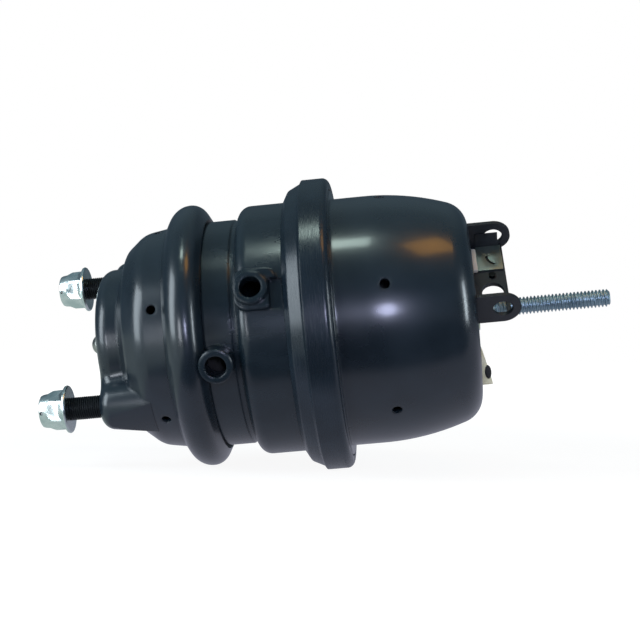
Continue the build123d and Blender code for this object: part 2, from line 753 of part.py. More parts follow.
def hub_bore():
    """Stepped bore of the hub: two seal grooves, the bushing's seat and a ring groove."""
    start = PARTITION_X - ROOT_OVERLAP
    end = HUB_END_X + ROOT_OVERLAP
    groove_r = CENTRE_ROD_R + SEAL_DEPTH
    bore = disc(start, end, CENTRE_ROD_R + SLIDE_GAP)
    for x in seal_places():
        bore += disc(x, x + SEAL_WIDTH, groove_r)
    bushing_end = bushing_x() + BUSHING_LENGTH
    bore += disc(bushing_x(), end, CENTRE_ROD_R + BUSHING_T)
    ring_r = CENTRE_ROD_R + BUSHING_T + CLIP_RING_DEPTH
    return bore + disc(bushing_end, bushing_end + CLIP_RING_T + 2 * SEAT_GAP, ring_r)


def seal_places():
    """Where the two rod seals start along the hub."""
    first = PARTITION_X + SEAL_INSET
    return first, first + SEAL_WIDTH + SEAL_SPACE


def bushing_x():
    """Where the rod bushing starts along the hub."""
    return seal_places()[1] + SEAL_WIDTH + SEAL_INSET


def rod_seals():
    """Two rubber rings in the hub's grooves."""
    inner = CENTRE_ROD_R + SLIDE_GAP
    outer = CENTRE_ROD_R + SEAL_DEPTH - SEAT_GAP
    edge = SEAL_DEPTH / 3
    return [
        turned_round(
            (x + SEAT_GAP, inner, edge),
            (x + SEAL_WIDTH - SEAT_GAP, inner, edge),
            (x + SEAL_WIDTH - SEAT_GAP, outer, edge),
            (x + SEAT_GAP, outer, edge),
        )
        for x in seal_places()
    ]


def rod_bushing():
    """Plain bushing that guides the centre rod."""
    start = bushing_x() + SEAT_GAP
    outer = CENTRE_ROD_R + BUSHING_T - SEAT_GAP
    return tube(start, bushing_x() + BUSHING_LENGTH, outer, CENTRE_ROD_R + SLIDE_GAP)


def bushing_ring():
    """Open snap ring that keeps the bushing in the hub."""
    start = bushing_x() + BUSHING_LENGTH + SEAT_GAP
    outer = CENTRE_ROD_R + BUSHING_T + CLIP_RING_DEPTH - SEAT_GAP
    ring = tube(start, start + CLIP_RING_T, outer, CENTRE_ROD_R + BUSHING_T / 2)
    size = (CLIP_RING_T * 4, CLIP_RING_GAP, outer * 2)
    gap = Box(*size, align=(Align.CENTER, Align.CENTER, Align.MIN))
    return ring - Pos(start, 0, 0) * gap


# ---------------------------------------------------------------- spring stroke group


def rod_foot():
    """Foot of the centre rod, which pushes on the service diaphragm."""
    back_x = FOOT_X + FOOT_T
    spigot_r = CENTRE_ROD_BORE_R - SEAT_GAP
    return turned_round(
        (FOOT_X, 0, 0),
        (FOOT_X, FOOT_R, FOOT_EDGE_R),
        (back_x, FOOT_R, FOOT_EDGE_R),
        (back_x, spigot_r, 0),
        (back_x + FOOT_SPIGOT, spigot_r, FOOT_EDGE_R),
        (back_x + FOOT_SPIGOT, 0, 0),
    )


def centre_rod():
    """Hollow rod between the foot and the piston; the release bolt's head sits inside."""
    start = FOOT_X + FOOT_T + SEAT_GAP
    return tube(start, PISTON_X - SEAT_GAP, CENTRE_ROD_R, CENTRE_ROD_BORE_R)


def piston():
    """Pressed spring plate with a collar on the rod and a slot for the bolt's head."""
    path = FilletPolyline(
        (PISTON_BACK_X + PISTON_RIM, PISTON_R),
        (PISTON_X, PISTON_R),
        (PISTON_X, CENTRE_ROD_BORE_R / 2),
        radius=PUSH_PLATE_BEND_R,
    )
    face = make_face(offset(path, amount=PISTON_T, side=Side.LEFT))
    plate = revolve(face, axis=Axis.X).solid()
    plate += disc(PISTON_X, PISTON_BACK_X, CENTRE_ROD_R)
    plate += tube(
        PISTON_X - PISTON_COLLAR_LENGTH, PISTON_X, PISTON_COLLAR_R, CENTRE_ROD_R + SEAT_GAP
    )
    slot = Rectangle(BOLT_HEAD_WIDTH + 2 * BOLT_SLOT_GAP, BOLT_HEAD_LENGTH + 2 * BOLT_SLOT_GAP)
    shank = Circle(BOLT_R + BOLT_SLOT_GAP)
    return plate - extrude(facing_x(PISTON_X) * (slot + shank), amount=PISTON_T)


def spring_diaphragm():
    """Rubber cup between the flange case and the spring housing, sealed on the collar."""
    back_x = PISTON_X - SOFT_GAP
    bead_x = SPRING_LIP_X - SPRING_SHEET - SEAT_GAP
    inner_r = PISTON_COLLAR_R + SOFT_GAP
    path = FilletPolyline(
        (bead_x, BARREL_R),
        (bead_x, SPRING_CUP_R),
        (back_x, SPRING_CUP_R),
        (back_x, inner_r),
        radius=[RUBBER_T + RUBBER_BEND, SPRING_CUP_BEND_R],
    )
    bead = tube(CASE_END_X + SEAT_GAP, bead_x, SPRING_LIP_R - RUBBER_T / 2, BARREL_R)
    return pressed(path, RUBBER_T) + bead


def spring_seat():
    """Thin guide cup that keeps the power spring centred on the piston."""
    start = PISTON_BACK_X + SEAT_GAP
    guide_r = POWER_COIL_R - POWER_WIRE_R - SOFT_GAP - SPRING_SEAT_T
    path = FilletPolyline(
        (start, PISTON_R - 2 * PUSH_PLATE_BEND_R),
        (start, guide_r),
        (start + POWER_WIRE_R, guide_r),
        radius=SPRING_SEAT_T,
    )
    face = make_face(offset(path, amount=SPRING_SEAT_T, side=Side.LEFT))
    return revolve(face, axis=Axis.X).solid()


def power_spring():
    """Heavy coil that applies the parking brake, caged between piston and end wall."""
    start = PISTON_BACK_X + SEAT_GAP + SPRING_SEAT_T + SOFT_GAP
    end = END_X - SPRING_SHEET - SOFT_GAP
    return coil(start, end, POWER_COIL_R, POWER_WIRE_R, POWER_TURNS)


# ---------------------------------------------------------------- spring housing and band


def housing_path():
    """Outer half section of the spring housing, from its lip to the end hole."""
    corner_x = END_X - END_CORNER_R
    reach = BARREL_CURVE_R - END_CORNER_R
    rise = math.sqrt(reach ** 2 - (corner_x - BARREL_X) ** 2)
    barrel_centre = (BARREL_X, BARREL_R - BARREL_CURVE_R)
    corner_centre = (corner_x, barrel_centre[1] + rise)
    slope = math.degrees(math.atan2(rise, corner_x - BARREL_X))
    lip = FilletPolyline(
        (SPRING_LIP_X, SPRING_LIP_R),
        (SPRING_LIP_X, BARREL_R),
        (BARREL_X, BARREL_R),
        radius=SPRING_LIP_BEND_R,
    )
    barrel = CenterArc(barrel_centre, BARREL_CURVE_R, 90, slope - 90)
    corner = CenterArc(corner_centre, END_CORNER_R, slope, -slope)
    end = Line((END_X, corner_centre[1]), (END_X, END_HOLE_R))
    return Wire([*lip.edges(), *barrel.edges(), *corner.edges(), *end.edges()])


def spring_housing():
    """Deep-drawn barrel with a flange, a bead beside the clamp band, vents and an end hole."""
    walls = pressed(housing_path(), SPRING_SHEET)
    bead_x = BAND_RIGHT_X + BEAD_PROUD
    bead_r = BAND_R - BEAD_DROP
    bead = turned_round(
        (SPRING_LIP_X - ROOT_OVERLAP, BARREL_R - ROOT_OVERLAP, 0),
        (SPRING_LIP_X - ROOT_OVERLAP, bead_r, 0),
        (bead_x, bead_r, BEAD_EDGE_R),
        (bead_x, BARREL_R - ROOT_OVERLAP, 0),
    )
    return vented(walls + bead, BAND_RIGHT_X + SPRING_VENT_BACK, BARREL_R, SPRING_VENT_R)


def spring_clamp_band():
    """Crimped band over the flange case and the spring housing's lip."""
    path = FilletPolyline(
        (CASE_FLANGE_X - BAND_LIP_BACK, BAND_R - BAND_START_DROP),
        (BAND_SHOULDER_X, BAND_R - BAND_SHOULDER_DROP),
        (BAND_STEP_X, BAND_R - BAND_STEP_DROP),
        (BAND_FACE_X, BAND_R),
        (BAND_RIGHT_X, BAND_R),
        (BAND_RIGHT_X, BAND_R - BAND_LIP_DROP),
        radius=[BAND_SHOULDER_R, BAND_CREASE_R, BAND_CREASE_R, BAND_EDGE_R],
    )
    return pressed(path, BAND_SHEET)


# ---------------------------------------------------------------- release bolt


def release_bolt():
    """Caging bolt: a T head behind the piston's slot and a long thread out of the end."""
    head_end = PISTON_X - SEAT_GAP
    tip = END_X + BOLT_OUT
    shank = turned(
        (head_end - BOLT_HEAD_T, 0),
        (head_end - BOLT_HEAD_T, BOLT_R),
        (tip - BOLT_CHAMFER, BOLT_R),
        (tip, BOLT_R - BOLT_CHAMFER),
        (tip, 0),
    )
    head = extrude(
        facing_x(head_end - BOLT_HEAD_T) * Rectangle(BOLT_HEAD_LENGTH, BOLT_HEAD_WIDTH),
        amount=BOLT_HEAD_T,
    )
    return shank + head


def release_washer():
    """Hard washer on the end face."""
    start = END_X + SEAT_GAP
    return tube(start, start + RELEASE_WASHER_T, RELEASE_WASHER_R, BOLT_R + BOLT_SLOT_GAP)


def release_nut():
    """Hexagon nut that runs on the release bolt."""
    start = END_X + 2 * SEAT_GAP + RELEASE_WASHER_T
    corner_r = RELEASE_NUT_FLATS / math.sqrt(3)
    hexagon = extrude(facing_x(start) * RegularPolygon(corner_r, 6), amount=RELEASE_NUT_T)
    edge = corner_r - RELEASE_NUT_FLATS / 2
    crown = turned(
        (start, 0),
        (start, RELEASE_NUT_FLATS / 2),
        (start + edge, corner_r),
        (start + RELEASE_NUT_T - edge, corner_r),
        (start + RELEASE_NUT_T, RELEASE_NUT_FLATS / 2),
        (start + RELEASE_NUT_T, 0),
    )
    return (hexagon & crown) - disc(start, start + RELEASE_NUT_T, BOLT_R + SLIDE_GAP)


# ---------------------------------------------------------------- bracket, clip and plug


def end_bracket():
    """Stamped channel on the end face: a web with a window between two round-ended ears."""
    body = extrude(bracket_plane(0, 0, WEB_OFFSET, "away") * web_sketch(), amount=-BRACKET_SHEET)
    for side in (-1, 1):
        plane = bracket_plane(side * EAR_SPACING / 2, 0, EAR_OFFSET, "across")
        body += extrude(plane * ear_sketch(), amount=BRACKET_SHEET / 2, both=True)
    return body


def ear_sketch():
    """An ear, drawn from its hole's height: along the chamber and away from the axis."""
    outline = Pos(SEAT_GAP, 0) * Rectangle(
        EAR_HOLE_OUT - SEAT_GAP, 2 * EAR_R, align=(Align.MIN, Align.CENTER)
    )
    outline += Pos(EAR_HOLE_OUT, 0) * Circle(EAR_R)
    return outline - Pos(EAR_HOLE_OUT, 0) * Circle(EAR_HOLE_R)


def web_sketch():
    """The web, drawn along the chamber and across the bracket, with its arched window."""
    width = EAR_SPACING - BRACKET_SHEET
    outline = Pos(SEAT_GAP, 0) * Rectangle(
        WEB_OUT - SEAT_GAP, width, align=(Align.MIN, Align.CENTER)
    )
    half = WINDOW_WIDTH / 2
    middle = WINDOW_OUT + half
    window = Pos(middle, WINDOW_TOP - half) * Circle(half)
    window += Pos(middle, WINDOW_TOP - half) * Rectangle(
        WINDOW_WIDTH, WINDOW_LENGTH - half, align=(Align.CENTER, Align.MAX)
    )
    return outline - window


def bracket_pin():
    """Small headed pin through the web."""
    top = bracket_plane(PIN_ACROSS, PIN_OUT, WEB_OFFSET + SEAT_GAP, "away")
    return extrude(top * Circle(PIN_R), amount=PIN_HEAD_T)


def bracket_clip():
    """Plated plate on the web, and the moulded foot that holds it off the end face."""
    plane = bracket_plane(-CLIP_ACROSS, 0, WEB_OFFSET + SEAT_GAP, "away")
    plate = extrude(
        plane * Pos(CLIP_START, 0) * Rectangle(
            CLIP_OUT - CLIP_START, CLIP_WIDTH, align=(Align.MIN, Align.CENTER)
        ),
        amount=CLIP_T,
    )
    foot = extrude(
        plane * Pos(SEAT_GAP, 0) * Rectangle(
            CLIP_START - 2 * SEAT_GAP, CLIP_FOOT_WIDTH, align=(Align.MIN, Align.CENTER)
        ),
        amount=CLIP_FOOT_T,
    )
    return [plate, foot]


def end_plug():
    """Wedge-shaped plastic plug over the storage hole, with an oval recess in its side."""
    start = END_X + SEAT_GAP
    lowest = Pos(start, 0, -PLUG_OFFSET)
    body = lowest * Rot(0, 90, 0) * Cylinder(
        PLUG_R, PLUG_FOOT_T, align=(Align.CENTER, Align.CENTER, Align.MIN)
    )
    body -= extrude(
        Plane.XZ * Pos(start, -PLUG_OFFSET) * Polygon(
            (PLUG_TOP_T, PLUG_R),
            (PLUG_FOOT_T, -PLUG_R),
            (2 * PLUG_FOOT_T, -PLUG_R),
            (2 * PLUG_FOOT_T, PLUG_R),
            align=None,
        ),
        amount=PLUG_R,
        both=True,
    )
    wall_y = -math.sqrt(PLUG_R ** 2 - SLOT_DROP ** 2)
    mouth = Plane(
        origin=(start + SLOT_OUT, wall_y + SLOT_DEPTH, -PLUG_OFFSET - SLOT_DROP),
        x_dir=(0, 0, 1),
        z_dir=(0, -1, 0),
    )
    return body - extrude(mouth * SlotOverall(SLOT_LENGTH, SLOT_WIDTH), amount=2 * SLOT_DEPTH)


# ---------------------------------------------------------------- nodes

NODES = [
    service_housing,
    mounting_studs,
    stud_nuts,
    nut_inserts,
    front_boot,
    boot_retainer,
    push_rod,
    push_plate,
    service_return_spring,
    service_diaphragm,
    service_clamp_ring,
    flange_case,
    rod_seals,
    rod_bushing,
    bushing_ring,
    rod_foot,
    centre_rod,
    piston,
    spring_diaphragm,
    spring_seat,
    power_spring,
    spring_housing,
    spring_clamp_band,
    release_bolt,
    release_washer,
    release_nut,
    end_bracket,
    bracket_pin,
    bracket_clip,
    end_plug,
]

for make in NODES:
    made = make()
    solids = made if isinstance(made, list) else made.solids()
    shape = solids[0] if len(solids) == 1 else Compound(children=list(solids))
    export_step(shape, f"parts/{make.__name__}.step")
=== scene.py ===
import math

import bpy
from mathutils import Matrix, Vector


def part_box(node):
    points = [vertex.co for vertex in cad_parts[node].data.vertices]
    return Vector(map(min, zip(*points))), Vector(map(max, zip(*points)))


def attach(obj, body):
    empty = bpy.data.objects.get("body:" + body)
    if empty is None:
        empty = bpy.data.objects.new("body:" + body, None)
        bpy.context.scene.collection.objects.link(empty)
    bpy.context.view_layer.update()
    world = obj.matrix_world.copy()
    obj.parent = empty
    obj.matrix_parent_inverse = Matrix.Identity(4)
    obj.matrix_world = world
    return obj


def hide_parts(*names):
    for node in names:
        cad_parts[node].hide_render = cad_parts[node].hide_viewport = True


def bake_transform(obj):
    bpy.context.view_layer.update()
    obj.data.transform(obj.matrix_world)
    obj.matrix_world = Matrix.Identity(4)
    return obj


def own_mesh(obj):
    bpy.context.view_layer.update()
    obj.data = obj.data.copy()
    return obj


# Combined service and spring brake chamber, dressed on its CAD frame. The scene is in metres; the
# sizes and places of the pieces are written in millimetres, and the shop tools turn them to metres.
# The chamber axis is X, the stud seat is at X = 0 and the spring end is towards +X.

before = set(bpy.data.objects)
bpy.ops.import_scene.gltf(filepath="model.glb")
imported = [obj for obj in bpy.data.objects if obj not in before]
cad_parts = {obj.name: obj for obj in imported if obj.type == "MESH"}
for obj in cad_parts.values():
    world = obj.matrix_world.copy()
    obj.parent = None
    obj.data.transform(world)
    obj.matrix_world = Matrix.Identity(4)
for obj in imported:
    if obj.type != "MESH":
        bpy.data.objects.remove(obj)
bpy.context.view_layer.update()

MM = 0.001

# ---------------------------------------------------------------- places and sizes, in millimetres


def span(solid):
    """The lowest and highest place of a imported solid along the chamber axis."""
    low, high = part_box(solid)
    return low[0] / MM, high[0] / MM


STUD_TIP, STUD_HEAD_END = span("mounting_studs")
NUT_SEAT = span("stud_nuts")[1]
BOLT_HEAD_FACE, BOLT_TIP = span("release_bolt")
END_FACE = span("spring_housing")[1]
TRIM = 0.1                  # a threaded piece ends this much inside its solid

STUD_CIRCLE = 120.65
STUD_ANGLES = (-45.0, 135.0)
STUD_R = 8.0
STUD_ROOT_R = 7.35
STUD_PITCH = 1.5
STUD_CHAMFER = 0.9
STUD_THREAD_END = 1.0       # inside the seat's sheet
STUD_NECK_START = -0.4
STUD_NECK_R = 8.3
STUD_HEAD_START = 3.25
STUD_HEAD_R = 10.1
STUD_HEAD_CLEAR = 0.05      # of the head's far face from its solid's

NUT_FLATS = 24.0
NUT_BLANK = 22.0            # length of the hexagon before its crown is turned
NUT_BLANK_MIDDLE = -33.0
NUT_EDGE = 0.5
NUT_ROOM_R = 14.0           # clears the hexagon's corners
# Distance out from the nut's seat, and radius, along the crown: the hexagon's chamfer, the collar's
# taper and its closed lip.
NUT_CROWN = (
    (11.15, 13.7),
    (13.35, 12.7),
    (15.15, 11.9),
    (18.15, 11.5),
    (19.55, 10.9),
    (20.25, 9.7),
    (20.3, 8.2),
    (19.75, 7.5),
)
# The same along the flange: its round rim and the cone up to the hexagon.
NUT_FLANGE = (
    (0.05, 15.6),
    (0.45, 16.3),
    (1.25, 16.65),
    (2.25, 16.3),
    (2.85, 15.2),
    (4.35, 13.6),
    (5.95, 12.6),
)
NUT_HEX_START = 0.15
MARK_R = 1.35               # punched mark through the collar
MARK_REACH = (6.5, 14.0)    # from the nut's axis
MARK_AT = (-40.3, 0.0, -0.8)

BOLT_R = 6.25
BOLT_ROOT_R = 4.75
BOLT_PITCH = 2.54
BOLT_CHAMFER = 0.3
BOLT_THREAD_CLEAR = 0.15    # of the thread's start from the head's face
BOLT_STEPS = 64
BOLT_HEAD = (7.35, 18.0, 10.6)      # thickness, length and width
BOLT_HEAD_EDGE = 0.8

# Over the end face, and before the bracket is turned: out from the face, across and off the axis.
BRACKET_TURN = math.radians(45)
WEB_FACE = 27.55
CLIP_LOW = (4.65, 9.5, WEB_FACE)
CLIP_HIGH = (22.45, 34.45, 28.9)
CLIP_EDGE = 0.25
SLOT_RADII = (7.6, 9.3)
SLOT_HALF = 2.0             # half its depth through the plate
SLOT_LOW = (-10, -5.2, -3)
SLOT_HIGH = (-5, 5.2, 3)
SLOT_AT = (20.2, 22.8, 28.2)
SLOT_TURN = math.radians(28)
FOOT_LOW = (0.1, 9.0, WEB_FACE)
FOOT_HIGH = (4.55, 31.0, 30.5)
FOOT_EDGE = 0.5
LEG_LOW = (4.7, 34.1, 27.6)
LEG_HIGH = (20.8, 34.72, 41.0)
LEG_EDGE = 0.2

PLUG_R = 15.9
PLUG_CLEAR = 0.06
PLUG_BLANK = 9.2            # thickness before the slope is cut
PLUG_DROP = 37.6            # of its middle below the chamber axis
PLUG_EDGE = 0.5
SLOPE_AT = (0.9, 0, -21.7)
SLOPE_RUN = (31.8, 0, 7.5)  # the sloping face's normal
RECESS_R = 1.9
RECESS_DEPTH = (-2.0, 12.0)
RECESS_AT = (5.2, -17.5, -44.0)
RECESS_STRETCH = (1.25, 1, 2.6)
# A dark core set in the recess: painted shade for the shade deep inside it.
CORE_R = 1.8
CORE_LENGTH = 6.0
CORE_AT = (5.2, -14.2, -44.0)
CORE_EDGE = 0.2

# Facets round a small, a middling and a large turned piece, and the special ones.
COARSE, MEDIUM, FINE = 32, 64, 96
MARK_STEPS = 24
STUD_STEPS = 40
PLUG_STEPS = 72
DOUBLES = 1e-6              # metres
# The shading is smooth over edges up to these angles, in degrees.
SMOOTH_TO = 35.0
NUT_SMOOTH_TO = 28.0
# A thread's section, as shares of its pitch: two root flats with a crest between them.
THREAD_FORM = ((0.0, True), (0.14, True), (0.42, False), (0.6, False), (0.88, True), (1.0, True))

# Each soft piece that a body carries: where the chamber holds it, and where the body does.
SERVICE_RIM, SERVICE_CENTRE = 74.0, 88.5
SPRING_RIM, SPRING_CENTRE = 165.0, 180.5
COIL_END, COIL_SEAT = 259.3, 190.8

# ---------------------------------------------------------------- colours and material nodes

WHITE = (1, 1, 1, 1)


def linear(code):
    """A colour from its sRGB hex code."""
    parts = [int(code[i:i + 2], 16) / 255 for i in (1, 3, 5)]
    return [p / 12.92 if p <= 0.04045 else ((p + 0.055) / 1.055) ** 2.4 for p in parts] + [1.0]


def node(tree, kind, inputs=None, **settings):
    """Adds a shader node; an input is a value or another node's output socket."""
    made = tree.nodes.new(kind)
    for name, value in settings.items():
        setattr(made, name, value)
    for name, value in (inputs or {}).items():
        if isinstance(value, bpy.types.NodeSocket):
            tree.links.new(value, made.inputs[name])
        else:
            made.inputs[name].default_value = value
    return made


def ramp(tree, factor, *stops):
    """A colour ramp from (position, colour) stops."""
    made = node(tree, "ShaderNodeValToRGB", {"Fac": factor})
    elements = made.color_ramp.elements
    while len(elements) < len(stops):
        elements.new(0.5)
    for element, (position, colour) in zip(elements, stops):
        element.position = position
        element.color = linear(colour) if isinstance(colour, str) else [colour] * 3 + [1.0]
    return made.outputs["Color"]


def finish(name):
    """An empty material with its object coordinates: returns material, tree, coordinates."""
    material = bpy.data.materials.new(name)
    material.use_nodes = True
    tree = material.node_tree
    tree.nodes.clear()
    return material, tree, node(tree, "ShaderNodeTexCoord").outputs["Object"]


def shade(tree, **inputs):
    """The surface shader and the output, with the shader's sockets set by name."""
    names = {key.replace("_", " "): value for key, value in inputs.items()}
    surface = node(tree, "ShaderNodeBsdfPrincipled", names)
    node(tree, "ShaderNodeOutputMaterial", {"Surface": surface.outputs["BSDF"]})
    return surface


def noise(tree, where, size_mm, detail, stretch=(1, 1, 1)):
    """Noise with features about that many millimetres across, stretched along the axes."""
    drawn = node(tree, "ShaderNodeMapping", {"Vector": where, "Scale": stretch})
    inputs = {"Vector": drawn.outputs["Vector"], "Scale": 1 / (size_mm * MM), "Detail": detail}
    return node(tree, "ShaderNodeTexNoise", inputs).outputs["Fac"]


def bump(tree, height, depth_mm, strength, under=None):
    """Surface relief of that many millimetres."""
    inputs = {"Height": height, "Distance": depth_mm * MM, "Strength": strength}
    if under is not None:
        inputs["Normal"] = under
    return node(tree, "ShaderNodeBump", inputs).outputs["Normal"]


def rounded(tree, radius_mm):
    """Normals as if every edge were rounded over by the paint."""
    made = node(tree, "ShaderNodeBevel", {"Radius": radius_mm * MM}, samples=4)
    return made.outputs["Normal"]


# ---------------------------------------------------------------- finishes


def gloss_paint():
    """Dipped gloss black on pressed steel: deep reflections, faint orange peel and dust."""
    material, tree, where = finish("gloss_black_paint")
    peel = noise(tree, where, size_mm=5.0, detail=2.0)
    dust = noise(tree, where, size_mm=30.0, detail=5.0)
    shade(
        tree,
        Base_Color=ramp(tree, dust, (0.35, "#101b23"), (0.7, "#16222b")),
        Roughness=ramp(tree, dust, (0.3, 0.25), (0.75, 0.34)),
        Normal=bump(tree, peel, depth_mm=0.02, strength=0.5, under=rounded(tree, radius_mm=3.0)),
        Coat_Weight=0.5,
        Coat_Roughness=0.15,
    )
    return material


def casting_paint():
    """The same black over a die casting: softer gloss, fine pits and flow marks."""
    material, tree, where = finish("black_painted_casting")
    pits = noise(tree, where, size_mm=1.6, detail=4.0)
    flow = noise(tree, where, size_mm=22.0, detail=4.0, stretch=(0.4, 1, 1))
    edges = rounded(tree, radius_mm=2.2)
    pitted = bump(tree, pits, depth_mm=0.03, strength=0.6, under=edges)
    relief = bump(tree, flow, depth_mm=0.12, strength=0.5, under=pitted)
    shade(
        tree,
        Base_Color=ramp(tree, flow, (0.3, "#0f1a21"), (0.75, "#18252d")),
        Roughness=ramp(tree, flow, (0.3, 0.2), (0.75, 0.34)),
        Normal=relief,
        Coat_Weight=0.2,
        Coat_Roughness=0.12,
    )
    return material


def rolled_band_paint():
    """Black on the rolled clamp band: fine lines round the band show through the paint."""
    material, tree, where = finish("black_painted_rolled_band")
    lines = noise(tree, where, size_mm=9.0, detail=3.0, stretch=(22, 1, 1))
    dust = noise(tree, where, size_mm=24.0, detail=4.0)
    shade(
        tree,
        Base_Color=ramp(tree, dust, (0.35, "#131d25"), (0.7, "#1b262f")),
        Roughness=ramp(tree, lines, (0.3, 0.2), (0.7, 0.32)),
        Normal=bump(tree, lines, depth_mm=0.03, strength=0.6, under=rounded(tree, radius_mm=1.0)),
    )
    return material


def bracket_paint():
    """Semi-gloss black on the stamped bracket, a little dusty."""
    material, tree, where = finish("semi_gloss_bracket_paint")
    dust = noise(tree, where, size_mm=7.0, detail=5.0)
    shade(
        tree,
        Base_Color=ramp(tree, dust, (0.3, "#15181c"), (0.75, "#24272c")),
        Roughness=ramp(tree, dust, (0.3, 0.34), (0.75, 0.52)),
        Normal=bump(tree, dust, depth_mm=0.05, strength=0.4, under=rounded(tree, radius_mm=0.7)),
    )
    return material


def zinc_plate(name, dark="#cbd8d6", light="#eef4f1", rough=0.2, marks_mm=0.01):
    """Bright zinc plate with a blue passivated tint and faint turning marks."""
    material, tree, where = finish(name)
    cloud = noise(tree, where, size_mm=9.0, detail=3.0)
    marks = noise(tree, where, size_mm=2.0, detail=2.0, stretch=(5, 1, 1))
    shade(
        tree,
        Base_Color=ramp(tree, cloud, (0.35, dark), (0.65, light)),
        Metallic=1.0,
        Roughness=ramp(tree, cloud, (0.3, rough), (0.75, rough + 0.12)),
        Normal=bump(tree, marks, depth_mm=marks_mm, strength=0.35),
    )
    return material


def phosphated_thread():
    """Black phosphated and oiled stud thread."""
    material, tree, where = finish("black_phosphated_thread")
    grain = noise(tree, where, size_mm=0.8, detail=4.0)
    shade(
        tree,
        Base_Color=ramp(tree, grain, (0.3, "#121619"), (0.75, "#22272a")),
        Metallic=0.6,
        Roughness=0.42,
        Normal=bump(tree, grain, depth_mm=0.02, strength=0.5),
    )
    return material


def oiled_steel(name, dark, light, rough=0.35):
    """Plain turned steel with a thin film of oil and a little staining."""
    material, tree, where = finish(name)
    stain = noise(tree, where, size_mm=8.0, detail=5.0)
    turning = noise(tree, where, size_mm=1.2, detail=2.0, stretch=(8, 1, 1))
    shade(
        tree,
        Base_Color=ramp(tree, stain, (0.3, dark), (0.75, light)),
        Metallic=1.0,
        Roughness=ramp(tree, stain, (0.3, rough - 0.08), (0.75, rough + 0.1)),
        Normal=bump(tree, turning, depth_mm=0.01, strength=0.6),
    )
    return material


def moulded_plastic(name, dark, light, rough=0.45):
    """Moulded plastic with a fine spark-eroded grain and a little flow shading."""
    material, tree, where = finish(name)
    grain = noise(tree, where, size_mm=0.5, detail=3.0)
    flow = noise(tree, where, size_mm=12.0, detail=3.0)
    shade(
        tree,
        Base_Color=ramp(tree, flow, (0.3, dark), (0.75, light)),
        Roughness=rough,
        Normal=bump(tree, grain, depth_mm=0.02, strength=0.4),
        Subsurface_Weight=0.05,
        Subsurface_Radius=(0.002, 0.0015, 0.001),
    )
    return material


def fabric_rubber():
    """Fabric-backed moulded rubber: a fine weave under a dusty matt skin."""
    material, tree, where = finish("fabric_backed_rubber")
    dust = noise(tree, where, size_mm=10.0, detail=5.0)
    weave = noise(tree, where, size_mm=0.9, detail=1.0)
    shade(
        tree,
        Base_Color=ramp(tree, dust, (0.3, "#171717"), (0.8, "#262626")),
        Roughness=ramp(tree, dust, (0.3, 0.62), (0.8, 0.8)),
        Normal=bump(tree, weave, depth_mm=0.05, strength=0.6),
    )
    return material


def spring_coat():
    """Grey-black epoxy on spring wire, slightly textured."""
    material, tree, where = finish("coated_spring_wire")
    grain = noise(tree, where, size_mm=1.5, detail=3.0)
    shade(
        tree,
        Base_Color=ramp(tree, grain, (0.3, "#1c1d1f"), (0.8, "#2c2e30")),
        Roughness=0.4,
        Normal=bump(tree, grain, depth_mm=0.03, strength=0.5),
    )
    return material


def cast_alloy():
    """Bare cast aluminium, dull with fine grain."""
    material, tree, where = finish("bare_cast_aluminium")
    grain = noise(tree, where, size_mm=1.2, detail=4.0)
    shade(
        tree,
        Base_Color=ramp(tree, grain, (0.3, "#8d9092"), (0.8, "#a9acad")),
        Metallic=1.0,
        Roughness=0.5,
        Normal=bump(tree, grain, depth_mm=0.04, strength=0.6),
    )
    return material


GLOSS_PAINT = gloss_paint()
CASTING_PAINT = casting_paint()
BAND_PAINT = rolled_band_paint()
BRACKET_PAINT = bracket_paint()
ZINC = zinc_plate("bright_zinc_plate")
BOLT_ZINC = zinc_plate("blue_zinc_bolt", "#9fb5bf", "#bfd2d8", rough=0.42, marks_mm=0.002)
THREAD_BLACK = phosphated_thread()
ROD_STEEL = oiled_steel("oiled_rod_steel", "#9a9a96", "#b9b8b2")
CLIP_PLATE = oiled_steel("dull_zinc_clip", "#7d8985", "#98a39f", rough=0.5)
PIN_BLACK = oiled_steel("blackened_pin_steel", "#191a1b", "#2a2b2c")
NYLON = moulded_plastic("natural_nylon", "#b9bcb4", "#cfd2c9")
CREAM = moulded_plastic("cream_moulded_plastic", "#cfcbab", "#dedbc2", rough=0.5)
FOOT_CREAM = moulded_plastic("pale_moulded_foot", "#bdb4a8", "#cdc6bb", rough=0.5)
# painted shade: a dark core standing in for the shade deep in the plug's recess
PAINTED_SHADE_CORE = moulded_plastic("painted_shade_recess_core", "#141415", "#1f1f20", rough=0.6)
GUIDE = moulded_plastic("dark_guide_plastic", "#2a2a2c", "#3a3a3c")
RUBBER = fabric_rubber()
SPRING_WIRE = spring_coat()
ALLOY = cast_alloy()

NODE_FINISH = {
    "service_housing": GLOSS_PAINT,
    "service_clamp_ring": GLOSS_PAINT,
    "spring_housing": GLOSS_PAINT,
    "flange_case": CASTING_PAINT,
    "spring_clamp_band": BAND_PAINT,
    "end_bracket": BRACKET_PAINT,
    "piston": SPRING_WIRE,
    "mounting_studs": THREAD_BLACK,
    "stud_nuts": ZINC,
    "release_bolt": BOLT_ZINC,
    "release_washer": ZINC,
    "release_nut": ZINC,
    "bracket_clip": CLIP_PLATE,
    "nut_inserts": NYLON,
    "front_boot": RUBBER,
    "service_diaphragm": RUBBER,
    "spring_diaphragm": RUBBER,
    "rod_seals": RUBBER,
    "boot_retainer": ROD_STEEL,
    "push_rod": ROD_STEEL,
    "push_plate": ROD_STEEL,
    "centre_rod": ROD_STEEL,
    "bushing_ring": ROD_STEEL,
    "bracket_pin": PIN_BLACK,
    "service_return_spring": SPRING_WIRE,
    "power_spring": SPRING_WIRE,
    "rod_foot": ALLOY,
    "rod_bushing": GUIDE,
    "spring_seat": GUIDE,
    "end_plug": CREAM,
}

for name, material in NODE_FINISH.items():
    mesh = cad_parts[name].data
    mesh.materials.clear()
    mesh.materials.append(material)

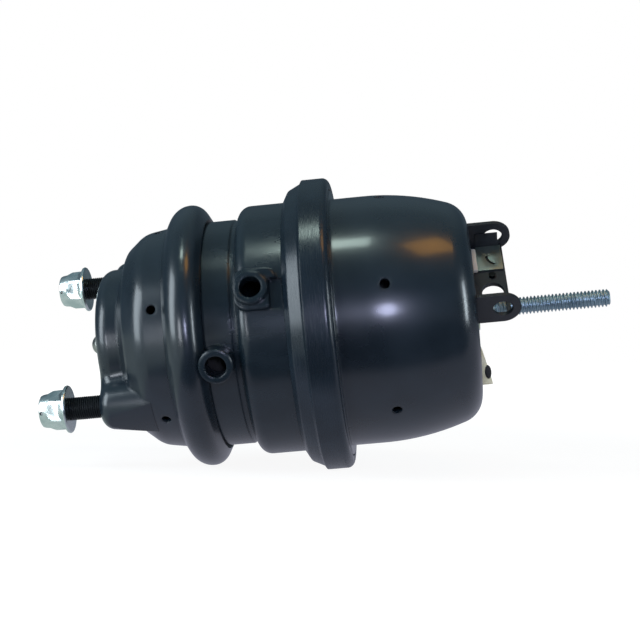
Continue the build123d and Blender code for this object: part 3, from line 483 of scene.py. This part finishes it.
# ---------------------------------------------------------------- shop tools


def deselect():
    """Nothing is selected or active in the scene."""
    if bpy.context.object and bpy.context.object.mode != "OBJECT":
        bpy.ops.object.mode_set(mode="OBJECT")
    bpy.ops.object.select_all(action="DESELECT")


def take(piece):
    """Only this piece is selected and active."""
    deselect()
    bpy.context.view_layer.objects.active = piece
    piece.select_set(True)


def settle(piece):
    """Puts the piece's place into its mesh, so that its object sits at the origin."""
    take(piece)
    bpy.ops.object.transform_apply(location=True, rotation=True, scale=True)


def turned(piece, *angles):
    """Turns the piece about the scene's axes, in radians."""
    piece.rotation_euler = angles
    settle(piece)
    return piece


def stretched(piece, *factors):
    """Stretches the piece along the scene's axes."""
    piece.scale = factors
    settle(piece)
    return piece


def placed(piece, *place):
    """Moves the piece by that many millimetres."""
    piece.location = Vector(place) * MM
    settle(piece)
    return piece


def outward(piece):
    """Merges doubles and turns the faces outwards."""
    take(piece)
    bpy.ops.object.mode_set(mode="EDIT")
    bpy.ops.mesh.select_all(action="SELECT")
    bpy.ops.mesh.remove_doubles(threshold=DOUBLES)
    bpy.ops.mesh.normals_make_consistent(inside=False)
    bpy.ops.object.mode_set(mode="OBJECT")
    return piece


def apply_all(piece):
    """Applies every modifier of the piece in turn."""
    take(piece)
    for modifier in list(piece.modifiers):
        bpy.ops.object.modifier_apply(modifier=modifier.name)


def dress(piece, name, material, body, slot, *stands_for, smooth_to=SMOOTH_TO):
    """Names, finishes and smooths the piece, and puts it on its body unless that is None."""
    piece.name = name
    piece.data.materials.clear()
    piece.data.materials.append(material)
    take(piece)
    bpy.ops.object.shade_smooth_by_angle(angle=math.radians(smooth_to))
    if body:
        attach(piece, body)
    if stands_for:
        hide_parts(*stands_for)
    return piece


def outline(name, points):
    """An open chain of edges through (x, radius) places, on the -Y side."""
    places = [Vector((x * MM, -radius * MM, 0)) for x, radius in points]
    deselect()
    bpy.ops.mesh.primitive_plane_add(size=MM, location=places[0])
    piece = bpy.context.object
    piece.name = name
    settle(piece)
    bpy.ops.object.mode_set(mode="EDIT")
    bpy.ops.mesh.select_all(action="SELECT")
    bpy.ops.mesh.merge(type="CENTER")
    for before, after in zip(places, places[1:]):
        bpy.ops.mesh.extrude_region_move(TRANSFORM_OT_translate={"value": after - before})
    bpy.ops.object.mode_set(mode="OBJECT")
    return piece


def spun(name, points, steps):
    """The outline spun once round the chamber axis and closed."""
    piece = outline(name, points)
    take(piece)
    bpy.ops.object.mode_set(mode="EDIT")
    bpy.ops.mesh.select_all(action="SELECT")
    bpy.ops.mesh.spin(steps=steps, angle=math.tau, center=(0, 0, 0), axis=(1, 0, 0))
    bpy.ops.object.mode_set(mode="OBJECT")
    return outward(piece)


def rod(name, start, end, radius, steps):
    """A plain round rod on the chamber axis."""
    return spun(name, [(start, 0), (start, radius), (end, radius), (end, 0)], steps)


def cut(piece, tool, how="DIFFERENCE"):
    """Cuts the piece with the tool, or keeps what is inside it, and removes the tool."""
    knife = piece.modifiers.new("cut", "BOOLEAN")
    knife.operation = how
    knife.object = tool
    knife.solver = "EXACT"
    apply_all(piece)
    bpy.data.objects.remove(tool)
    return piece


def clip_off(piece, place, normal, keep_behind=True):
    """Cuts the piece along a plane at a place in millimetres, closes it and keeps one side."""
    take(piece)
    bpy.ops.object.mode_set(mode="EDIT")
    bpy.ops.mesh.select_all(action="SELECT")
    bpy.ops.mesh.bisect(
        plane_co=Vector(place) * MM,
        plane_no=Vector(normal).normalized(),
        use_fill=True,
        clear_inner=not keep_behind,
        clear_outer=keep_behind,
    )
    bpy.ops.object.mode_set(mode="OBJECT")
    return piece


def join(*pieces):
    """Joins closed shells into the first piece."""
    deselect()
    for piece in pieces:
        piece.select_set(True)
    bpy.context.view_layer.objects.active = pieces[0]
    bpy.ops.object.join()
    return pieces[0]


def softened(piece, width, sharper_than=30.0):
    """Rounds the edges of the piece that are sharper than an angle in degrees."""
    edge = piece.modifiers.new("edge", "BEVEL")
    edge.width = width * MM
    edge.segments = 2
    edge.limit_method = "ANGLE"
    edge.angle_limit = math.radians(sharper_than)
    apply_all(piece)
    return piece


def block(name, low, high):
    """A rectangular block between two corners."""
    deselect()
    middle = (Vector(low) + Vector(high)) / 2 * MM
    size = (Vector(high) - Vector(low)) * MM
    bpy.ops.mesh.primitive_cube_add(size=1, location=middle, scale=size)
    piece = bpy.context.object
    piece.name = name
    settle(piece)
    return piece


def threaded(name, start, end, crest, root, pitch, chamfer, steps):
    """A screw thread on the X axis between two places, chamfered at its ends."""
    first = start - 1.5 * pitch
    turns = math.ceil((end - start) / pitch) + 3
    points = [(first + share * pitch, root if low else crest) for share, low in THREAD_FORM]
    piece = outline(name, points)
    twist = piece.modifiers.new("thread", "SCREW")
    twist.axis = "X"
    twist.screw_offset = pitch * MM
    twist.iterations = turns
    twist.steps = steps
    twist.render_steps = steps
    twist.use_merge_vertices = True
    twist.merge_threshold = DOUBLES
    apply_all(piece)
    outward(piece)
    clip_off(piece, (start - 0.5 * pitch, 0, 0), (1, 0, 0), keep_behind=False)
    clip_off(piece, (end + 0.5 * pitch, 0, 0), (1, 0, 0))
    outward(piece)
    over = crest + 1.0
    slope = over - root + chamfer
    envelope = spun(
        name + "_ends",
        [
            (start, 0),
            (start, root - chamfer),
            (start + slope, over),
            (end - slope, over),
            (end, root - chamfer),
            (end, 0),
        ],
        MEDIUM,
    )
    return cut(piece, envelope, "INTERSECT")


def copies_at_studs(piece, name):
    """Two copies of a piece drawn on the chamber axis, joined, one at each stud."""
    made = []
    for angle in STUD_ANGLES:
        turn = math.radians(angle)
        copy = piece.copy()
        copy.data = piece.data.copy()
        bpy.context.scene.collection.objects.link(copy)
        reach = STUD_CIRCLE / 2
        placed(copy, 0, -reach * math.cos(turn), reach * math.sin(turn))
        made.append(copy)
    bpy.data.objects.remove(piece)
    joined = join(*made)
    joined.name = name
    return joined


# ---------------------------------------------------------------- studs, nuts and bolt


def stud_threads():
    """Two black studs with their rolled thread, a plain neck and the pressed head inside."""
    thread = threaded(
        "stud_thread",
        start=STUD_TIP + TRIM,
        end=STUD_THREAD_END,
        crest=STUD_R,
        root=STUD_ROOT_R,
        pitch=STUD_PITCH,
        chamfer=STUD_CHAMFER,
        steps=STUD_STEPS,
    )
    head_end = STUD_HEAD_END - STUD_HEAD_CLEAR
    neck = spun(
        "stud_neck",
        [
            (STUD_NECK_START, 0),
            (STUD_NECK_START, STUD_NECK_R),
            (STUD_HEAD_START, STUD_NECK_R),
            (STUD_HEAD_START, STUD_HEAD_R),
            (head_end, STUD_HEAD_R),
            (head_end, 0),
        ],
        FINE,
    )
    studs = copies_at_studs(join(thread, neck), "stud_threads")
    dress(studs, "stud_threads", THREAD_BLACK, "chamber", "stud_steel", "mounting_studs")


def nut_part(name, profile):
    """A closed turned part of the nut, from its distances out from the seat and its radii."""
    points = [(NUT_SEAT - out, radius) for out, radius in profile]
    first, last = points[0][0], points[-1][0]
    return spun(name, [(first, 0)] + points + [(last, 0)], FINE)


def flange_nuts():
    """Flanged lock nuts: a coned flange, a hexagon and a collar with its punched mark."""
    deselect()
    bpy.ops.mesh.primitive_cylinder_add(
        vertices=6,
        radius=NUT_FLATS / math.sqrt(3) * MM,
        depth=NUT_BLANK * MM,
        location=(NUT_BLANK_MIDDLE * MM, 0, 0),
        rotation=(0, math.pi / 2, 0),
    )
    hexagon = bpy.context.object
    settle(hexagon)
    turned(hexagon, math.radians(30), 0, 0)
    crown = nut_part("nut_crown", ((NUT_HEX_START, NUT_ROOM_R), *NUT_CROWN))
    body = softened(cut(hexagon, crown, "INTERSECT"), NUT_EDGE, sharper_than=40.0)
    mark = rod("collar_mark", *MARK_REACH, MARK_R, MARK_STEPS)
    placed(turned(mark, 0, 0, math.radians(-90)), *MARK_AT)
    cut(body, outward(mark))
    flange = nut_part("nut_flange", NUT_FLANGE)
    nuts = copies_at_studs(join(body, flange), "flange_nuts")
    dress(
        nuts,
        "flange_nuts",
        ZINC,
        "chamber",
        "zinc_plate",
        "stud_nuts",
        smooth_to=NUT_SMOOTH_TO,
    )


def caging_bolt():
    """The release bolt: long rolled thread, with its T head inside the piston."""
    thread = threaded(
        "bolt_thread",
        start=BOLT_HEAD_FACE + BOLT_THREAD_CLEAR,
        end=BOLT_TIP - TRIM,
        crest=BOLT_R,
        root=BOLT_ROOT_R,
        pitch=BOLT_PITCH,
        chamfer=BOLT_CHAMFER,
        steps=BOLT_STEPS,
    )
    thick, length, width = BOLT_HEAD
    low = (BOLT_HEAD_FACE, -length / 2, -width / 2)
    high = (BOLT_HEAD_FACE + thick, length / 2, width / 2)
    head = softened(block("bolt_head", low, high), BOLT_HEAD_EDGE)
    bolt = join(thread, head)
    dress(bolt, "caging_bolt", BOLT_ZINC, "piston", "zinc_plate", "release_bolt")


# ---------------------------------------------------------------- bracket clip and end plug


def past_end(place):
    """A place that is given out from the end face, in the frame."""
    return (END_FACE + place[0], place[1], place[2])


def on_bracket(piece):
    """Turns a piece drawn over the end face, with the bracket upwards, onto the bracket."""
    return turned(piece, BRACKET_TURN, 0, 0)


def clip_plate():
    """Dull plate on the bracket's web, with a curved lanced slot."""
    plate = block("clip_plate", past_end(CLIP_LOW), past_end(CLIP_HIGH))
    inner, outer = SLOT_RADII
    slot = spun(
        "clip_slot",
        [
            (-SLOT_HALF, inner),
            (SLOT_HALF, inner),
            (SLOT_HALF, outer),
            (-SLOT_HALF, outer),
            (-SLOT_HALF, inner),
        ],
        MEDIUM,
    )
    turned(slot, 0, math.pi / 2, 0)
    cut(slot, block("slot_window", SLOT_LOW, SLOT_HIGH), "INTERSECT")
    placed(turned(slot, 0, 0, SLOT_TURN), *past_end(SLOT_AT))
    cut(plate, outward(slot))
    softened(plate, CLIP_EDGE)
    dress(on_bracket(plate), "clip_plate", CLIP_PLATE, "chamber", "pin_steel", "bracket_clip")


def clip_foot():
    """Pale moulded foot between the clip plate and the end face."""
    foot = softened(block("clip_foot", past_end(FOOT_LOW), past_end(FOOT_HIGH)), FOOT_EDGE)
    dress(on_bracket(foot), "clip_foot", FOOT_CREAM, "chamber", "plug_plastic")


def clip_leg():
    """Thin black leg of the clip along the far ear."""
    leg = softened(block("clip_leg", past_end(LEG_LOW), past_end(LEG_HIGH)), LEG_EDGE)
    dress(on_bracket(leg), "clip_leg", BRACKET_PAINT, "chamber", "black_paint")


def oval_rod(name, start, end, radius, place):
    """A rod stretched to the recess's oval, pointing to the +Y side of a place."""
    piece = turned(rod(name, start, end, radius, COARSE), 0, 0, math.radians(90))
    return outward(placed(stretched(piece, *RECESS_STRETCH), *past_end(place)))


def wedge_plug():
    """Cream plug over the storage hole: a round wedge with an oval recess in its side."""
    start, end = END_FACE + PLUG_CLEAR, END_FACE + PLUG_BLANK
    plug = placed(rod("plug", start, end, PLUG_R, PLUG_STEPS), 0, 0, -PLUG_DROP)
    clip_off(plug, past_end(SLOPE_AT), SLOPE_RUN)
    softened(plug, PLUG_EDGE)
    cut(plug, oval_rod("plug_recess", *RECESS_DEPTH, RECESS_R, RECESS_AT))
    dress(plug, "wedge_plug", CREAM, "chamber", "plug_plastic", "end_plug")


def painted_shade_core():
    """A dark core in the plug's recess: painted shade standing in for the shade deep inside it."""
    core = softened(oval_rod("painted_shade_core", 0, CORE_LENGTH, CORE_R, CORE_AT), CORE_EDGE)
    dress(core, "painted_shade_core", PAINTED_SHADE_CORE, "chamber", "guide_plastic")


# ---------------------------------------------------------------- springs and diaphragms


def pliable(solid, name, material, slot, body=None):
    """A merged copy of a spring or a diaphragm."""
    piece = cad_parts[solid].copy()
    piece.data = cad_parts[solid].data.copy()
    piece.parent = None
    piece.matrix_world = Matrix.Identity(4)
    bpy.context.scene.collection.objects.link(piece)
    return dress(outward(piece), name, material, body, slot, solid)


def return_coil():
    """The return spring, which the push plate presses together."""
    coil = pliable("service_return_spring", "return_coil", SPRING_WIRE, "spring_steel", "chamber")
    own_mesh(coil)


def carried(solid, name, material, slot, body, held, moved):
    """A soft piece between the chamber and a sliding body, copied with its place baked into its
    mesh.
    """
    piece = pliable(solid, name, material, slot)
    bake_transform(piece)


def service_membrane():
    """The service diaphragm, whose middle stays behind the push plate."""
    rims = (SERVICE_RIM, SERVICE_CENTRE)
    carried("service_diaphragm", "service_membrane", RUBBER, "rubber", "push_rod", *rims)


def spring_membrane():
    """The spring diaphragm, whose middle stays on the piston."""
    rims = (SPRING_RIM, SPRING_CENTRE)
    carried("spring_diaphragm", "spring_membrane", RUBBER, "rubber", "piston", *rims)


def power_coil():
    """The power spring, which stretches as the piston leaves the end wall."""
    ends = (COIL_END, COIL_SEAT)
    carried("power_spring", "power_coil", SPRING_WIRE, "spring_steel", "piston", *ends)


stud_threads()
flange_nuts()
caging_bolt()
clip_plate()
clip_foot()
clip_leg()
wedge_plug()
painted_shade_core()
return_coil()
service_membrane()
spring_membrane()
power_coil()

# ---------------------------------------------------------------- camera, light and floor

FRAME_PX = 640
FOCAL_PX = 1395.86          # distance of the picture plane, in picture points
CENTRE_PX = (322.70, 324.54)
SENSOR = 36.0
# The eye's place, in metres, and its directions in the frame.
EYE_PLACE = (0.2266, -0.9974, -0.0003)
EYE_FORWARD = (-0.0718, 0.9974, 0.0)
EYE_UP = (0.0920, 0.0066, 0.9957)

# The floor, in metres: under the lowest places of the service ring and of the spring band.
RING_REST = (0.070, 0, -0.0935)
BAND_REST = (0.159, 0, -0.1035)
FLOOR_DROP = 0.0002         # of the floor below those places
FLOOR_SPREAD = 5.0
FLOOR_MIDDLE = (0.17, 0.0, -0.1)

# Each lamp's name, place, aim, width and height, watts, colour and shape.
LAMPS = (
    ("overhead", (0.12, -0.30, 0.95), (0.17, 0, 0.08), (0.16, 0.16), 1.1, "#e6fff6", "RECTANGLE"),
    ("front", (0.325, -1.10, 0.14), (0.2, 0, 0), (0.18, 0.2), 2.7, "#d4d9ff", "ELLIPSE"),
    ("left_side", (-0.85, -0.55, 0.32), (0, 0, 0), (0.55, 1.2), 12.5, "#e8f6ff", "RECTANGLE"),
    ("front_left", (-0.34, -1.05, 0.08), (0, 0, 0), (0.16, 0.36), 1.8, "#eef4ff", "RECTANGLE"),
    ("right_side", (1.15, -0.35, 0.12), (0.25, 0, 0), (0.2, 0.45), 3.4, "#e8f6ff", "RECTANGLE"),
    ("warm_wall", (0.60, -0.32, 0.85), (0.24, 0, 0.05), (0.34, 0.24), 0.95, "#ffb644", "RECTANGLE"),
)


def camera():
    """The view across the chamber, a little towards its stud end."""
    data = bpy.data.cameras.new("view")
    eye = bpy.data.objects.new("view", data)
    bpy.context.scene.collection.objects.link(eye)
    forward = Vector(EYE_FORWARD).normalized()
    right = forward.cross(Vector(EYE_UP)).normalized()
    up = right.cross(forward)
    turn = Matrix((right, up, -forward)).transposed()
    eye.matrix_world = Matrix.Translation(EYE_PLACE) @ turn.to_4x4()
    data.sensor_width = SENSOR
    data.lens = FOCAL_PX / FRAME_PX * SENSOR
    data.shift_x = (FRAME_PX / 2 - CENTRE_PX[0]) / FRAME_PX
    data.shift_y = (CENTRE_PX[1] - FRAME_PX / 2) / FRAME_PX
    data.clip_start = 0.01
    data.clip_end = 20
    bpy.context.scene.camera = eye


def lamp(name, place, target, size, power, colour, shape):
    """A soft studio lamp."""
    data = bpy.data.lights.new(name, "AREA")
    data.shape = shape
    data.size, data.size_y = size
    data.energy = power
    data.color = linear(colour)[:3]
    made = bpy.data.objects.new(name, data)
    bpy.context.scene.collection.objects.link(made)
    made.location = place
    made.rotation_euler = (Vector(target) - Vector(place)).to_track_quat("-Z", "Y").to_euler()


def surround():
    """A white room for the camera, whose grey tones by height are what the paint mirrors."""
    world = bpy.data.worlds.new("studio")
    bpy.context.scene.world = world
    world.use_nodes = True
    tree = world.node_tree
    tree.nodes.clear()
    where = node(tree, "ShaderNodeTexCoord").outputs["Generated"]
    parts = node(tree, "ShaderNodeSeparateXYZ", {"Vector": where})
    height = node(tree, "ShaderNodeMapRange", {"Value": parts.outputs["Z"], "From Min": -1.0})
    room = ramp(
        tree,
        height.outputs["Result"],
        (0.1, "#8a8c98"),
        (0.42, "#8a8c98"),
        (0.5, "#56626b"),
        (0.7, "#465560"),
        (0.9, "#718690"),
    )
    seen = node(tree, "ShaderNodeLightPath").outputs["Is Camera Ray"]
    sky = mixed_colour(tree, seen, room, WHITE)
    light = node(tree, "ShaderNodeBackground", {"Color": sky, "Strength": 1.0})
    node(tree, "ShaderNodeOutputWorld", {"Surface": light.outputs["Background"]})


def faded(tree, value, start, end, first=0.0):
    """A smooth step from the first value to 1 between two distances."""
    step = node(
        tree,
        "ShaderNodeMapRange",
        {"Value": value, "From Min": start, "From Max": end, "To Min": first},
        interpolation_type="SMOOTHSTEP",
    )
    return step.outputs["Result"]


def mixed_colour(tree, factor, first, second):
    """A mix of two colours, each a value or another node's output."""
    made = node(tree, "ShaderNodeMix", {"Factor": factor}, data_type="RGBA")
    for socket, colour in ((made.inputs[6], first), (made.inputs[7], second)):
        if isinstance(colour, bpy.types.NodeSocket):
            tree.links.new(colour, socket)
        else:
            socket.default_value = colour
    return made.outputs[2]


def blended(tree, factor, first, second):
    """A mix of two shaders."""
    made = node(tree, "ShaderNodeMixShader", {0: factor, 1: first, 2: second})
    return made.outputs["Shader"]


def floor_finish():
    """Pale matt floor: white to the camera, glowing as painted bounce light towards the chamber,
    and grey where the gloss mirrors it.

    The mirrored tone is a painted reflection: dark in front of the chamber, so that its lower side
    stays deep, and pale beside the studs, where it brightens the nuts."""
    material, tree, where = finish("pale_floor")
    paths = node(tree, "ShaderNodeLightPath").outputs
    apart = node(tree, "ShaderNodeVectorMath", {0: where, 1: FLOOR_MIDDLE}, operation="DISTANCE")
    fade = faded(tree, apart.outputs["Value"], 0.3, 0.9, first=0.8)
    share = node(
        tree, "ShaderNodeMath", {0: paths["Is Camera Ray"], 1: fade}, operation="MULTIPLY"
    )
    matt = node(tree, "ShaderNodeBsdfDiffuse", {"Color": linear("#e6e6e6")}).outputs["BSDF"]
    parts = node(tree, "ShaderNodeSeparateXYZ", {"Vector": where}).outputs
    # painted reflection: a dark patch of floor in front of the chamber and a pale one beside the
    # studs, seen only in the gloss
    deep = faded(tree, parts["Y"], -0.17, -0.125)
    beside = faded(tree, parts["X"], -0.045, -0.01)
    under = ramp(tree, deep, (0.0, "#2e343d"), (1.0, "#a0a2b0"))
    mirrored = mixed_colour(tree, beside, linear("#b4c2c2"), under)
    # the floor glows: painted bounce light to diffuse rays, painted reflection tones to glossy
    # rays, white to the camera
    glow = [
        node(tree, "ShaderNodeEmission", {"Color": colour, "Strength": power}).outputs["Emission"]
        for colour, power in ((linear("#eef0f8"), 0.9), (mirrored, 1.0), (WHITE, 1.15))
    ]
    bounce = blended(tree, paths["Is Diffuse Ray"], matt, glow[0])
    lit = blended(tree, paths["Is Glossy Ray"], bounce, glow[1])
    surface = blended(tree, share.outputs["Value"], lit, glow[2])
    node(tree, "ShaderNodeOutputMaterial", {"Surface": surface})
    return material


def floor():
    """A wide sheet that touches the service ring and the spring band from below."""
    near, far = Vector(RING_REST), Vector(BAND_REST)
    slope = (far - near).normalized()
    upward = Vector((-slope.z, 0, slope.x))
    deselect()
    bpy.ops.mesh.primitive_grid_add(x_subdivisions=8, y_subdivisions=8, size=1)
    sheet = bpy.context.object
    sheet.name = "floor"
    start = near - upward * FLOOR_DROP
    for vertex in sheet.data.vertices:
        across, along = vertex.co.x * FLOOR_SPREAD, vertex.co.y * FLOOR_SPREAD
        vertex.co = start + slope * across + Vector((0, along, 0))
    sheet.data.materials.append(floor_finish())


camera()
surround()
floor()
for settings in LAMPS:
    lamp(*settings)
bpy.context.scene.view_settings.view_transform = "Standard"
